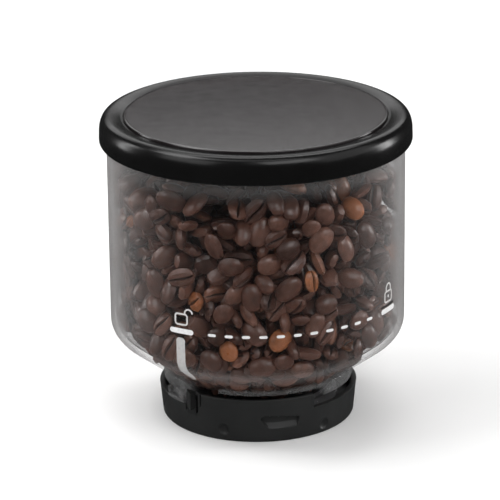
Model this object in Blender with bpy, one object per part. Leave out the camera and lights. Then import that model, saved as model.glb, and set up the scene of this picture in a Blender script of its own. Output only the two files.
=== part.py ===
"""Removable bean hopper of a coffee grinder: lid, clear vessel, and a collar with a shutter gate.

Metres, +Z up. The origin is the centre of the collar's bottom edge, and -Y is the front. An angle is
measured in degrees about the vertical axis, from the front, and is positive towards +X.
"""

import math

import bmesh
import bpy
from mathutils import Matrix, Vector

MM = 0.001
UP = Vector((0, 0, 1))
DOWN = Vector((0, 0, -1))
FACETS = 48
GAP = 0.3

# Collar
COLLAR_R = 35.8
COLLAR_BASE_R = 34.7
COLLAR_BORE_R = 33.65
COLLAR_HIGH_BORE_R = 34.5
LOW_RIM_Z = 11.25
HIGH_RIM_Z = 16.4
FLANGE_R = 28.0
FLANGE_BOTTOM_Z = 2.0
FLANGE_TOP_Z = 3.7
WINDOW_START = 33.4
WINDOW_END = 142.8

# Gate: the disc and its soft face are fixed in the collar
GATE_R = 33.3
GATE_BOTTOM_Z = 4.0
GATE_TOP_Z = 6.0
SEAL_R = 28.7
SEAL_BOTTOM_Z = GATE_TOP_Z + GAP
SEAL_TOP_Z = 7.1
OUTLET_HALF_ANGLE = 38.0
OUTLET_IN_R = 8.5
OUTLET_OUT_R = 25.5
GATE_SCREW_R = 30.4
GATE_SCREW_ANGLES = (45, 135, 225, 315)

GATE_SCREW_BOTTOM_Z = 0.4
GATE_SCREW_HOLE_R = 1.3
UPSTAND_IN_R = 29.4
UPSTAND_OUT_R = 30.6
UPSTAND_TOP_Z = 12.0

# Pivot
PIVOT_HOLE_R = 2.0
PIVOT_HEAD_R = 4.6
PIVOT_HEAD_BOTTOM_Z = 1.1
PIVOT_HEAD_LENGTH = 1.6
PIVOT_SHANK_R = 1.7
PIVOT_SHANK_LENGTH = 9.0
WASHER_R = 4.2
WASHER_BOTTOM_Z = 3.0
WASHER_CUP = 0.3
WASHER_THICKNESS = 0.4
INSERT_HOLE_R = 3.2
INSERT_TOP_Z = 11.6

# Vessel
VESSEL_R = 53.0
VESSEL_RIM_R = 52.7
VESSEL_RIM_Z = 108.4
VESSEL_WALL = 2.2
SHOULDER_Z = 36.71
SHOULDER_ARC_R = 8.26
CONE_ANGLE = 37.26
NECK_R = 29.0
NECK_BORE_R = 27.0
FLOOR_BOTTOM_Z = 7.4
FLOOR_TOP_Z = 9.4
BOSS_R = 5.0
BOSS_TOP_Z = 15.0
OPENING_TURN = 84.0
SKIRT_R = 34.2
SKIRT_BOTTOM_Z = 13.9
SKIRT_START = 43.0
SKIRT_END = 135.5
LUG_R = 36.9
LUG_START = 118.8
LUG_END = 133.6
LUG_BOTTOM_Z = 11.65
LUG_TOP_Z = 15.8

# Finger guard, low in the throat
GUARD_BOTTOM_Z = 11.6
GUARD_TOP_Z = 14.0
GUARD_HUB_IN_R = 5.3
GUARD_HUB_OUT_R = 7.6
GUARD_RING_IN_R = 24.4
GUARD_RING_OUT_R = 26.7
GUARD_SPOKE_WIDTH = 2.4

# Lid
LID_R = 55.59
LID_WIDEST_Z = 103.43
LID_BOTTOM_Z = 102.0
LID_BOTTOM_R = 54.28
LID_GROOVE_Z = 111.1
LID_GROOVE_R = 47.4
LID_SLOPE = ((47.8, 111.8), (48.3, 112.3))
LID_CREST_R = 49.4
LID_CREST_Z = 112.6
LID_CURVE_R = 49.2
LID_CURVE_POWER = 2.8
LID_BORE_R = 53.15
DISC_R = 46.8
DISC_TOP_Z = 111.83
RECESS_Z = 110.25
LID_PLATE_Z = VESSEL_RIM_Z + GAP
PLUG_R = 50.2
PLUG_BORE_R = 47.0
PLUG_BOTTOM_Z = 101.0
PLUG_PLATE_Z = 106.9
PLUG_BOSS_R = 3.2
PLUG_BOSS_DEPTH = 3.5
GROOVE_R = PLUG_R - 1.55
GASKET_BOTTOM_Z = 103.0
GASKET_TOP_Z = 105.0
LID_SCREW_R = 30.0
LID_SCREW_ANGLES = (0, 120, 240)
LID_SCREW_HEAD = 1.05
LID_SCREW_SEAT_R = 2.9
SCREW_HOLE_R = 1.55

# Catch
CATCH_START = -45.6
CATCH_END = -38.9
CATCH_MIDDLE = (CATCH_START + CATCH_END) / 2
CATCH_AXIS_Z = 9.2
CATCH_FLANGE_EXTRA = 2.6
CATCH_TIP_R = 38.2
CATCH_RAMP_BOTTOM_Z = 10.4
CATCH_RAMP_HEIGHT = 6.5
SPRING_SEAT_R = 31.0

# Marks in the collar's wall
SLOT_ANGLE = 12.4
SLOT_OUTLINE = ((-7.1, 9.1), (-4.1, 5.4), (6.4, 5.1), (7.1, 8.7), (6.4, 9.2), (-5.8, 10.2))
SLOT_FLOOR_R = 34.2
DIMPLES = ((-20.9, 4.4), (41.8, 3.4))
DIMPLE_FLOOR_R = 34.3
GROOVE_ANGLE = -35.4
GROOVE_HALF_WIDTH = 0.3
GROOVE_BOTTOM_Z = 12.0


def clear_scene():
    for thing in list(bpy.data.objects):
        bpy.data.objects.remove(thing, do_unlink=True)


def material(name, colour, roughness, metallic=0.0, alpha=1.0):
    """A Principled material of one colour."""
    made = bpy.data.materials.new(name)
    made.use_nodes = True
    shader = made.node_tree.nodes["Principled BSDF"]
    shader.inputs["Base Color"].default_value = (*colour, 1.0)
    shader.inputs["Roughness"].default_value = roughness
    shader.inputs["Metallic"].default_value = metallic
    shader.inputs["Alpha"].default_value = alpha
    return made


def place(name, mesh_data, finish, helper=False):
    """Puts a bmesh into the scene as one named object. A helper is a Boolean's tool, which isn't a part."""
    bmesh.ops.recalc_face_normals(mesh_data, faces=mesh_data.faces)
    mesh = bpy.data.meshes.new(name)
    mesh_data.to_mesh(mesh)
    mesh_data.free()
    thing = bpy.data.objects.new(name, mesh)
    bpy.context.scene.collection.objects.link(thing)
    if helper:
        thing.hide_render = True
        thing.display_type = "WIRE"
        return thing
    mesh.materials.append(finish)
    mesh.shade_smooth()
    mesh.set_sharp_from_angle(angle=math.radians(35))
    return thing


def polar(radius, angle, height):
    """The point at this radius and angle, in metres."""
    turn = math.radians(angle)
    return Vector((radius * math.sin(turn), -radius * math.cos(turn), height)) * MM


def turned(outline, sides=FACETS):
    """A bmesh of the outline of (radius, height) points, spun a full turn about the vertical axis.

    The outline either starts and ends on the axis, or is closed from its last point to its first.
    """
    shape = bmesh.new()
    points = [shape.verts.new((radius * MM, 0, height * MM)) for radius, height in outline]
    links = list(zip(points, points[1:]))
    if outline[0][0] > 0:
        links.append((points[-1], points[0]))
    edges = [shape.edges.new(pair) for pair in links]
    bmesh.ops.spin(
        shape,
        geom=points + edges,
        cent=(0, 0, 0),
        axis=(0, 0, 1),
        angle=math.tau,
        steps=sides,
        use_merge=True,
    )
    bmesh.ops.remove_doubles(shape, verts=shape.verts, dist=1e-6)
    return shape


def add_turned(shape, outline, centre, axis=UP, sides=20):
    """Adds a small turned body to the bmesh: its outline's heights count from centre, along axis."""
    body = turned(outline, sides)
    tilt = UP.rotation_difference(axis).to_matrix().to_4x4()
    body.transform(Matrix.Translation(centre) @ tilt)
    mesh = bpy.data.meshes.new("turned_body")
    body.to_mesh(mesh)
    body.free()
    shape.from_mesh(mesh)
    bpy.data.meshes.remove(mesh)


def add_rod(shape, centre, radius, length, axis=UP, sides=20):
    """Adds a cylinder that starts at centre and runs along axis."""
    add_turned(shape, [(0, 0), (radius, 0), (radius, length), (0, length)], centre, axis, sides)


def prism(shape, corners, sweep):
    """Adds a closed prism to the bmesh: the flat polygon of corners, carried along the vector sweep."""
    base = [shape.verts.new(corner) for corner in corners]
    far = [shape.verts.new(corner + sweep) for corner in corners]
    shape.faces.new(base)
    shape.faces.new(far[::-1])
    count = len(corners)
    for index in range(count):
        after = (index + 1) % count
        shape.faces.new((base[index], far[index], far[after], base[after]))


def arc(radius, start, end, height, step=360 / FACETS):
    """Points along an arc, both ends included, evenly spaced at about the given step."""
    count = max(1, round(abs(end - start) / step))
    return [polar(radius, start + (end - start) * index / count, height) for index in range(count + 1)]


def sector(shape, inner, outer, start, end, bottom, top):
    """Adds a ring segment between two radii, two angles and two heights."""
    corners = arc(outer, start, end, bottom) + arc(inner, end, start, bottom)
    prism(shape, corners, Vector((0, 0, (top - bottom) * MM)))


def combine(target, tool, operation):
    """Adds a Boolean with the exact solver, which joins the tool to the target or cuts it away."""
    step = target.modifiers.new(tool.name, "BOOLEAN")
    step.operation = operation
    step.solver = "EXACT"
    step.object = tool


def both_sides(shape, inner, outer, start, end, bottom, top):
    """Adds a ring segment and its copy half a turn away."""
    sector(shape, inner, outer, start, end, bottom, top)
    sector(shape, inner, outer, start + 180, end + 180, bottom, top)


def lid_dome():
    """The rim's outer line, crest to bottom edge, as two quarter curves joined where it is widest."""
    reach = LID_R - LID_CURVE_R
    rise = LID_CREST_Z - LID_WIDEST_Z
    power = LID_CURVE_POWER
    line = []
    for part in (0.32, 0.5, 0.66, 0.79, 0.89, 0.96, 1.0):
        line.append((LID_CURVE_R + reach * part, LID_WIDEST_Z + rise * (1 - part**power) ** (1 / power)))
    for turn in (45, 90):
        sweep = math.radians(turn)
        out = LID_BOTTOM_R + (LID_R - LID_BOTTOM_R) * math.cos(sweep)
        line.append((out, LID_WIDEST_Z - (LID_WIDEST_Z - LID_BOTTOM_Z) * math.sin(sweep)))
    return line


def make_screw(name, head_centre, axis, head, shank, finish):
    """A screw with a driver recess. Head and shank are each (radius, length); axis points to the tip."""
    head_radius, head_length = head
    shank_radius, shank_length = shank
    tip = head_length + shank_length
    recess = head_radius * 0.45
    outline = [(0, head_length * 0.6), (recess, head_length * 0.6), (recess, 0), (head_radius * 0.8, 0)]
    outline += [(head_radius, head_length * 0.4), (head_radius, head_length), (shank_radius, head_length)]
    outline += [(shank_radius, tip - shank_radius / 2), (shank_radius / 2, tip), (0, tip)]
    shape = bmesh.new()
    add_turned(shape, outline, head_centre, axis, 12)
    place(name, shape, finish)


def make_lid_shell(finish):
    """The rounded lid: a plate with a recess for the disc, three countersunk holes and a skirt."""
    outline = [(0, RECESS_Z), (DISC_R + GAP, RECESS_Z), (DISC_R + GAP, LID_GROOVE_Z)]
    outline += [(LID_GROOVE_R, LID_GROOVE_Z), *LID_SLOPE, (LID_CREST_R, LID_CREST_Z)]
    outline += lid_dome()
    outline += [(LID_BORE_R, LID_BOTTOM_Z), (LID_BORE_R, LID_PLATE_Z), (0, LID_PLATE_Z)]
    shell = place("lid_shell", turned(outline), finish)
    holes = bmesh.new()
    step_z = RECESS_Z - LID_PLATE_Z - LID_SCREW_HEAD
    hole = [(0, -1), (SCREW_HOLE_R, -1), (SCREW_HOLE_R, step_z)]
    hole += [(LID_SCREW_SEAT_R, step_z), (LID_SCREW_SEAT_R, 3), (0, 3)]
    for angle in LID_SCREW_ANGLES:
        add_turned(holes, hole, polar(LID_SCREW_R, angle, LID_PLATE_Z))
    combine(shell, place("lid_hole_tool", holes, None, helper=True), "DIFFERENCE")


def make_lid_disc(finish):
    bottom = RECESS_Z + GAP
    edge = 0.2
    outline = [(0, bottom), (DISC_R, bottom), (DISC_R, DISC_TOP_Z - edge)]
    outline += [(DISC_R - edge, DISC_TOP_Z), (0, DISC_TOP_Z)]
    place("lid_disc", turned(outline), finish)


def make_lid_plug(finish):
    """The inner plate: a shallow cup, open downwards, with a gasket groove and three screw bosses."""
    outline = [(0, VESSEL_RIM_Z), (PLUG_R, VESSEL_RIM_Z), (PLUG_R, GASKET_TOP_Z + GAP)]
    outline += [(GROOVE_R, GASKET_TOP_Z + GAP), (GROOVE_R, GASKET_BOTTOM_Z - GAP)]
    outline += [(PLUG_R, GASKET_BOTTOM_Z - GAP), (PLUG_R, PLUG_BOTTOM_Z), (PLUG_BORE_R, PLUG_BOTTOM_Z)]
    outline += [(PLUG_BORE_R, PLUG_PLATE_Z), (0, PLUG_PLATE_Z)]
    plug = place("lid_inner_plate", turned(outline), finish)
    bosses = bmesh.new()
    holes = bmesh.new()
    for angle in LID_SCREW_ANGLES:
        boss_z = PLUG_PLATE_Z - PLUG_BOSS_DEPTH
        add_rod(bosses, polar(LID_SCREW_R, angle, boss_z), PLUG_BOSS_R, PLUG_BOSS_DEPTH + 0.7)
        add_rod(holes, polar(LID_SCREW_R, angle, boss_z + 0.9), SCREW_HOLE_R, 6)
    combine(plug, place("plug_boss_tool", bosses, None, helper=True), "UNION")
    combine(plug, place("plug_hole_tool", holes, None, helper=True), "DIFFERENCE")


def make_lid_gasket(finish):
    inner = GROOVE_R + GAP
    outer = VESSEL_R - VESSEL_WALL - GAP
    round_off = 0.5
    outline = [(inner, GASKET_BOTTOM_Z), (outer - round_off, GASKET_BOTTOM_Z)]
    outline += [(outer, GASKET_BOTTOM_Z + round_off), (outer, GASKET_TOP_Z - round_off)]
    outline += [(outer - round_off, GASKET_TOP_Z), (inner, GASKET_TOP_Z)]
    place("lid_gasket", turned(outline), finish)


def make_lid_screws(finish):
    top = RECESS_Z - 0.05
    for number, angle in enumerate(LID_SCREW_ANGLES, 1):
        centre = polar(LID_SCREW_R, angle, top)
        make_screw(f"lid_screw_{number}", centre, DOWN, (2.5, 0.9), (1.25, 4.6), finish)


def vessel_outline():
    """The vessel's section: boss, floor, bore, inner cone and wall, rim, outer wall, shoulder and neck."""
    slope = math.radians(CONE_ANGLE)
    arc_r = VESSEL_R - SHOULDER_ARC_R
    turns = [math.radians((90 - CONE_ANGLE) * part / 4) for part in range(5)]
    outer_r = SHOULDER_ARC_R
    outer_arc = [(arc_r + outer_r * math.cos(t), SHOULDER_Z - outer_r * math.sin(t)) for t in turns]
    inner_r = SHOULDER_ARC_R - VESSEL_WALL
    inner_arc = [(arc_r + inner_r * math.cos(t), SHOULDER_Z - inner_r * math.sin(t)) for t in turns]
    outer_end = outer_arc[-1]
    inner_end = inner_arc[-1]
    bore_top = inner_end[1] - (inner_end[0] - NECK_BORE_R) * math.tan(slope)
    neck_top = outer_end[1] - (outer_end[0] - NECK_R) * math.tan(slope)
    outline = [(0, BOSS_TOP_Z), (BOSS_R - 1.5, BOSS_TOP_Z), (BOSS_R, BOSS_TOP_Z - 1.5)]
    outline += [(BOSS_R, FLOOR_TOP_Z), (NECK_BORE_R, FLOOR_TOP_Z), (NECK_BORE_R, bore_top)]
    outline += inner_arc[::-1]
    outline += [(VESSEL_R - VESSEL_WALL, VESSEL_RIM_Z), (VESSEL_RIM_R, VESSEL_RIM_Z)]
    outline += outer_arc
    outline += [(NECK_R, neck_top), (NECK_R, FLOOR_BOTTOM_Z), (INSERT_HOLE_R, FLOOR_BOTTOM_Z)]
    outline += [(INSERT_HOLE_R, INSERT_TOP_Z + GAP), (0, INSERT_TOP_Z + GAP)]
    return outline


def make_vessel(finish):
    vessel = place("hopper_vessel", turned(vessel_outline()), finish)
    skirt = bmesh.new()
    both_sides(skirt, NECK_R - 0.6, SKIRT_R, SKIRT_START, SKIRT_END, SKIRT_BOTTOM_Z, 18.4)
    combine(vessel, place("skirt_tool", skirt, None, helper=True), "UNION")
    lugs = bmesh.new()
    both_sides(lugs, SKIRT_R - 2.0, LUG_R, LUG_START, LUG_END, LUG_BOTTOM_Z, LUG_TOP_Z)
    combine(vessel, place("lug_tool", lugs, None, helper=True), "UNION")
    outlets = bmesh.new()
    start = OPENING_TURN - OUTLET_HALF_ANGLE
    end = OPENING_TURN + OUTLET_HALF_ANGLE
    both_sides(outlets, OUTLET_IN_R, OUTLET_OUT_R + 0.3, start, end, FLOOR_BOTTOM_Z - 1, FLOOR_TOP_Z + 1)
    combine(vessel, place("floor_outlet_tool", outlets, None, helper=True), "DIFFERENCE")


def make_finger_guard(finish):
    """A hub round the boss, four spokes and an outer ring, low in the throat."""
    ring = [(GUARD_RING_IN_R, GUARD_BOTTOM_Z), (GUARD_RING_OUT_R, GUARD_BOTTOM_Z)]
    ring += [(GUARD_RING_OUT_R, GUARD_TOP_Z), (GUARD_RING_IN_R, GUARD_TOP_Z)]
    guard = place("finger_guard", turned(ring), finish)
    inner = [(GUARD_HUB_IN_R, GUARD_BOTTOM_Z), (GUARD_HUB_OUT_R, GUARD_BOTTOM_Z)]
    inner += [(GUARD_HUB_OUT_R, GUARD_TOP_Z), (GUARD_HUB_IN_R, GUARD_TOP_Z)]
    hub = place("guard_hub_tool", turned(inner), None, helper=True)
    spokes = bmesh.new()
    low = UP * (GUARD_BOTTOM_Z + 0.2) * MM
    sweep = UP * (GUARD_TOP_Z - GUARD_BOTTOM_Z - 0.4) * MM
    for angle in range(45, 405, 90):
        along = polar(1, angle, 0).normalized()
        across = UP.cross(along) * GUARD_SPOKE_WIDTH / 2 * MM
        near = along * (GUARD_HUB_OUT_R - 0.8) * MM + low
        far = along * (GUARD_RING_IN_R + 0.8) * MM + low
        prism(spokes, [near - across, far - across, far + across, near + across], sweep)
    combine(guard, place("guard_spoke_tool", spokes, None, helper=True), "UNION")
    combine(guard, hub, "UNION")


def make_pivot(brass, steel):
    """The brass insert in the vessel's boss, and the pivot screw and cupped spring washer under the gate."""
    bottom = FLOOR_BOTTOM_Z + 0.4
    outline = [(PIVOT_HOLE_R, bottom), (INSERT_HOLE_R - GAP, bottom), (INSERT_HOLE_R - GAP, INSERT_TOP_Z)]
    outline.append((PIVOT_HOLE_R, INSERT_TOP_Z))
    place("pivot_insert", turned(outline, 24), brass)
    head = (PIVOT_HEAD_R, PIVOT_HEAD_LENGTH)
    shank = (PIVOT_SHANK_R, PIVOT_SHANK_LENGTH)
    make_screw("pivot_screw", polar(0, 0, PIVOT_HEAD_BOTTOM_Z), UP, head, shank, steel)
    inner_z = WASHER_BOTTOM_Z
    outer_z = WASHER_BOTTOM_Z + WASHER_CUP
    outline = [(PIVOT_HOLE_R, inner_z), (WASHER_R, outer_z), (WASHER_R, outer_z + WASHER_THICKNESS)]
    outline.append((PIVOT_HOLE_R, inner_z + WASHER_THICKNESS))
    place("spring_washer", turned(outline, 24), steel)


def make_gate(black, rubber):
    """The shutter disc with an upstand behind the catch, and the soft sheet that seals against the floor."""
    outline = [(PIVOT_HOLE_R, GATE_BOTTOM_Z), (GATE_R, GATE_BOTTOM_Z), (GATE_R, GATE_TOP_Z)]
    outline.append((PIVOT_HOLE_R, GATE_TOP_Z))
    gate = place("gate_disc", turned(outline), black)
    seal_r = PIVOT_HOLE_R + 1
    outline = [(seal_r, SEAL_BOTTOM_Z), (SEAL_R, SEAL_BOTTOM_Z), (SEAL_R, SEAL_TOP_Z), (seal_r, SEAL_TOP_Z)]
    seal = place("gate_seal", turned(outline), rubber)
    outlets = bmesh.new()
    both_sides(outlets, OUTLET_IN_R, OUTLET_OUT_R, -OUTLET_HALF_ANGLE, OUTLET_HALF_ANGLE, 3, 9)
    outlet_tool = place("gate_outlet_tool", outlets, None, helper=True)
    upstand = bmesh.new()
    start, end = CATCH_MIDDLE - 8, CATCH_MIDDLE + 8
    sector(upstand, UPSTAND_IN_R, UPSTAND_OUT_R, start, end, GATE_TOP_Z - 0.6, UPSTAND_TOP_Z)
    holes = bmesh.new()
    for angle in GATE_SCREW_ANGLES:
        add_rod(holes, polar(GATE_SCREW_R, angle, GATE_BOTTOM_Z - 1), GATE_SCREW_HOLE_R, 2.5, sides=16)
    combine(gate, outlet_tool, "DIFFERENCE")
    combine(gate, place("upstand_tool", upstand, None, helper=True), "UNION")
    combine(gate, place("gate_hole_tool", holes, None, helper=True), "DIFFERENCE")
    combine(seal, outlet_tool, "DIFFERENCE")


def make_gate_screws(finish):
    for number, angle in enumerate(GATE_SCREW_ANGLES, 1):
        centre = polar(GATE_SCREW_R, angle, GATE_SCREW_BOTTOM_Z)
        make_screw(f"gate_screw_{number}", centre, UP, (2.0, 1.3), (1.0, 3.4), finish)


def radial_prism(shape, outline, angle, inner, outer):
    """Adds a prism: an outline of (width, height) points, carried outwards along this angle's radius."""
    along = polar(1, angle, 0).normalized()
    across = UP.cross(along)
    corners = [along * inner * MM + across * wide * MM + UP * high * MM for wide, high in outline]
    prism(shape, corners, along * (outer - inner) * MM)


def make_collar(finish):
    """The bayonet ring: gate flange, two low windows for the lugs, slot, dimples and the catch's notch."""
    outline = [(34.3, 0), (COLLAR_BASE_R, 0.5), (COLLAR_R - 0.15, 10.5), (COLLAR_R, 12.5)]
    outline += [(COLLAR_R, HIGH_RIM_Z - 0.3), (COLLAR_R - 0.3, HIGH_RIM_Z), (COLLAR_HIGH_BORE_R, HIGH_RIM_Z)]
    outline += [(COLLAR_HIGH_BORE_R, SKIRT_BOTTOM_Z - 0.3), (COLLAR_BORE_R, SKIRT_BOTTOM_Z - 0.9)]
    outline += [(COLLAR_BORE_R, FLANGE_TOP_Z), (FLANGE_R, FLANGE_TOP_Z), (FLANGE_R, FLANGE_BOTTOM_Z)]
    outline += [(33.0, FLANGE_BOTTOM_Z), (33.0, 0)]
    collar = place("collar", turned(outline), finish)
    cuts = bmesh.new()
    both_sides(cuts, 30, 40, WINDOW_START, WINDOW_END, LOW_RIM_Z, 20)
    combine(collar, place("window_tool", cuts, None, helper=True), "DIFFERENCE")
    cuts = bmesh.new()
    sector(cuts, 32, 40, CATCH_START - 0.5, CATCH_END + 0.5, 7.3, 13)
    combine(collar, place("catch_notch_tool", cuts, None, helper=True), "DIFFERENCE")
    cuts = bmesh.new()
    radial_prism(cuts, SLOT_OUTLINE, SLOT_ANGLE, SLOT_FLOOR_R, 37)
    for angle, height in DIMPLES:
        along = polar(1, angle, 0).normalized()
        outline = [(0, 0), (1.2, 0), (2.2, 0.7), (2.2, 2), (0, 2)]
        add_turned(cuts, outline, polar(DIMPLE_FLOOR_R, angle, height), along, 16)
    half = GROOVE_HALF_WIDTH
    groove = [(-half, GROOVE_BOTTOM_Z), (half, GROOVE_BOTTOM_Z), (half, 18), (-half, 18)]
    radial_prism(cuts, groove, GROOVE_ANGLE, COLLAR_R - 0.7, 37)
    for angle in GATE_SCREW_ANGLES:
        add_rod(cuts, polar(GATE_SCREW_R, angle, FLANGE_BOTTOM_Z - 1), GATE_SCREW_HOLE_R, 4, sides=16)
    combine(collar, place("collar_detail_tool", cuts, None, helper=True), "DIFFERENCE")


def make_catch(black, steel):
    """The snap catch: a flange inside the ring, a body through the notch, and a ramp that stands outside."""
    flange = bmesh.new()
    start, end = CATCH_START - CATCH_FLANGE_EXTRA, CATCH_END + CATCH_FLANGE_EXTRA
    sector(flange, 31.9, 33.2, start, end, 7.6, 10.8)
    catch = place("catch", flange, black)
    body = bmesh.new()
    sector(body, 32.9, 35.7, CATCH_START, CATCH_END, 7.7, 13.4)
    combine(catch, place("catch_body_tool", body, None, helper=True), "UNION")
    ramp = bmesh.new()
    near, far = CATCH_START + 0.3, CATCH_END - 0.3
    plan = ((35.5, near), (35.95, near), (CATCH_TIP_R, far - 0.6), (CATCH_TIP_R, far), (35.5, far))
    corners = [polar(radius, angle, CATCH_RAMP_BOTTOM_Z) for radius, angle in plan]
    prism(ramp, corners, UP * CATCH_RAMP_HEIGHT * MM)
    combine(catch, place("catch_ramp_tool", ramp, None, helper=True), "UNION")
    along = polar(1, CATCH_MIDDLE, 0).normalized()
    bore = bmesh.new()
    add_rod(bore, polar(SPRING_SEAT_R, CATCH_MIDDLE, CATCH_AXIS_Z), 1.15, 4.1, along, 16)
    combine(catch, place("catch_bore_tool", bore, None, helper=True), "DIFFERENCE")
    spring_start = polar(SPRING_SEAT_R - 0.05, CATCH_MIDDLE, CATCH_AXIS_Z)
    place("catch_spring", coil(spring_start, along, 0.72, 0.14, 2.5, 4), steel)


def coil(start, axis, radius, wire, length, turns):
    """A bmesh of a helical spring of round wire, with flat closed ends."""
    per_turn = 10
    around = 4
    side = axis.orthogonal().normalized()
    other = axis.cross(side)
    shape = bmesh.new()
    rings = []
    for index in range(turns * per_turn + 1):
        angle = math.tau * index / per_turn
        out = side * math.cos(angle) + other * math.sin(angle)
        middle = start + out * radius * MM + axis * (wire + length * index / (turns * per_turn)) * MM
        ring = []
        for corner in range(around):
            turn = math.tau * corner / around
            ring.append(shape.verts.new(middle + (out * math.cos(turn) + axis * math.sin(turn)) * wire * MM))
        rings.append(ring)
    for near, far in zip(rings, rings[1:]):
        for corner in range(around):
            after = (corner + 1) % around
            shape.faces.new((near[corner], near[after], far[after], far[corner]))
    shape.faces.new(rings[0][::-1])
    shape.faces.new(rings[-1])
    return shape


clear_scene()
BLACK = material("black_plastic", (0.02, 0.02, 0.022), 0.45)
SATIN = material("satin_disc", (0.05, 0.05, 0.052), 0.5)
CLEAR = material("clear_vessel", (0.75, 0.75, 0.76), 0.35, alpha=0.35)
SMOKE = material("smoke_plastic", (0.3, 0.3, 0.31), 0.3, alpha=0.6)
RUBBER = material("silicone", (0.25, 0.25, 0.26), 0.7)
STEEL = material("steel", (0.6, 0.6, 0.62), 0.35, metallic=1.0)
BRASS = material("brass", (0.75, 0.55, 0.25), 0.35, metallic=1.0)

make_lid_shell(BLACK)
make_lid_disc(SATIN)
make_lid_plug(BLACK)
make_lid_gasket(RUBBER)
make_lid_screws(STEEL)
make_vessel(CLEAR)
make_finger_guard(SMOKE)
make_pivot(BRASS, STEEL)
make_gate(BLACK, RUBBER)
make_gate_screws(STEEL)
make_collar(BLACK)
make_catch(BLACK, STEEL)
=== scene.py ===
import math

import bpy
import numpy as np
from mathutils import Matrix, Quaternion, Vector


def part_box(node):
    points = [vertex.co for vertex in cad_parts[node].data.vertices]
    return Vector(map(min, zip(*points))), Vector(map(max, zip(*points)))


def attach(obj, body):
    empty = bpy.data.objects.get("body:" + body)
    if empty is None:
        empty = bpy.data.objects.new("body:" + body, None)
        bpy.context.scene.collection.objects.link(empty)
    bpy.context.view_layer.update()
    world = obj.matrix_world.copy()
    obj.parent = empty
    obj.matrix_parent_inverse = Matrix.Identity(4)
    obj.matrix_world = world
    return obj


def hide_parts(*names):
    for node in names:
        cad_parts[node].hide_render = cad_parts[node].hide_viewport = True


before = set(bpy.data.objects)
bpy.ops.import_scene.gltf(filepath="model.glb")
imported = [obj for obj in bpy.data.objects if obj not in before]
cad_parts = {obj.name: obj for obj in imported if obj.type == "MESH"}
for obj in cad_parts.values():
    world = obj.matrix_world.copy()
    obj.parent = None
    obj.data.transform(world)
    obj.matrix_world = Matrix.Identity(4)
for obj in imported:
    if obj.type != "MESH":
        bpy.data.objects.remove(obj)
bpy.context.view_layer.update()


# Lid shell: one black moulding with a soft satin skin. A flat recess in its top takes the disc, a low crest runs
# round the recess, and the rounded rim hangs down over the vessel. It pulls off the vessel by hand.

def turned_surface(name, outline, around=288):
    """A surface of revolution. Point (i, j) is outline radius i at the angle 2 pi j / around, at outline height i.

    The outline is in mm. Where it starts or ends on the axis, those points become one pole.
    """
    line = np.asarray(outline, float) * 0.001
    start_pole = line[0, 0] < 1e-9
    end_pole = line[-1, 0] < 1e-9
    rings = line[int(start_pole) : len(line) - int(end_pole)]
    angle = np.arange(around) * 2 * np.pi / around
    points = np.stack(
        [
            rings[:, :1] * np.sin(angle),
            -rings[:, :1] * np.cos(angle),
            np.repeat(rings[:, 1:], around, axis=1),
        ],
        axis=-1,
    ).reshape(-1, 3)
    closed_loop = not start_pole and not end_pole
    bands = len(rings) if closed_loop else len(rings) - 1
    row = np.arange(bands)[:, None]
    column = np.arange(around)[None, :]
    after = (column + 1) % around
    below = (row + 1) % len(rings)
    quads = np.stack(
        [row * around + column, row * around + after, below * around + after, below * around + column], -1
    ).reshape(-1, 4)
    faces = quads.tolist()
    ring = np.arange(around)
    for pole, place in ((start_pole, 0), (end_pole, len(rings) - 1)):
        if not pole:
            continue
        points = np.vstack([points, [[0, 0, line[0 if place == 0 else -1, 1]]]])
        hub = len(points) - 1
        first, second = place * around + ring, place * around + (ring + 1) % around
        if place == 0:
            first, second = second, first
        faces += np.stack([first, second, np.full(around, hub)], -1).tolist()
    return mesh_object(name, points, faces)


def mesh_object(name, points, faces):
    """A smooth-shaded object from an array of points and a list of faces, with its faces turned outwards."""
    mesh = bpy.data.meshes.new(name)
    mesh.from_pydata(np.asarray(points).tolist(), [], faces)
    mesh.update()
    thing = bpy.data.objects.new(name, mesh)
    bpy.context.scene.collection.objects.link(thing)
    return outwards(thing)


def outwards(thing):
    """Turns the whole shell round if its signed volume, the sum of a.(b x c) / 6 over triangles, is negative."""
    mesh = thing.data
    mesh.calc_loop_triangles()
    corners = np.empty(len(mesh.loop_triangles) * 3, np.int32)
    mesh.loop_triangles.foreach_get("vertices", corners)
    points = np.empty(len(mesh.vertices) * 3, np.float32)
    mesh.vertices.foreach_get("co", points)
    a, b, c = points.reshape(-1, 3)[corners].reshape(-1, 3, 3).transpose(1, 0, 2).astype(float)
    if np.einsum("ij,ij->", a, np.cross(b, c)) < 0:
        mesh.flip_normals()
    mesh.shade_smooth()
    mesh.set_sharp_from_angle(angle=math.radians(38))
    return thing


def new_material(name):
    """An empty node material: returns it, its node tree and its output node."""
    made = bpy.data.materials.new(name)
    made.use_nodes = True
    made.node_tree.nodes.clear()
    return made, made.node_tree, made.node_tree.nodes.new("ShaderNodeOutputMaterial")


def wire(tree, source, target):
    tree.links.new(source, target)


def noise_of(tree, scale, detail=3.0, roughness=0.55):
    """Noise in the object's own metres: scale counts features per metre."""
    place = tree.nodes.new("ShaderNodeTexCoord")
    noise = tree.nodes.new("ShaderNodeTexNoise")
    noise.inputs["Scale"].default_value = scale
    noise.inputs["Detail"].default_value = detail
    noise.inputs["Roughness"].default_value = roughness
    wire(tree, place.outputs["Object"], noise.inputs["Vector"])
    return noise.outputs["Fac"]


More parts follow.
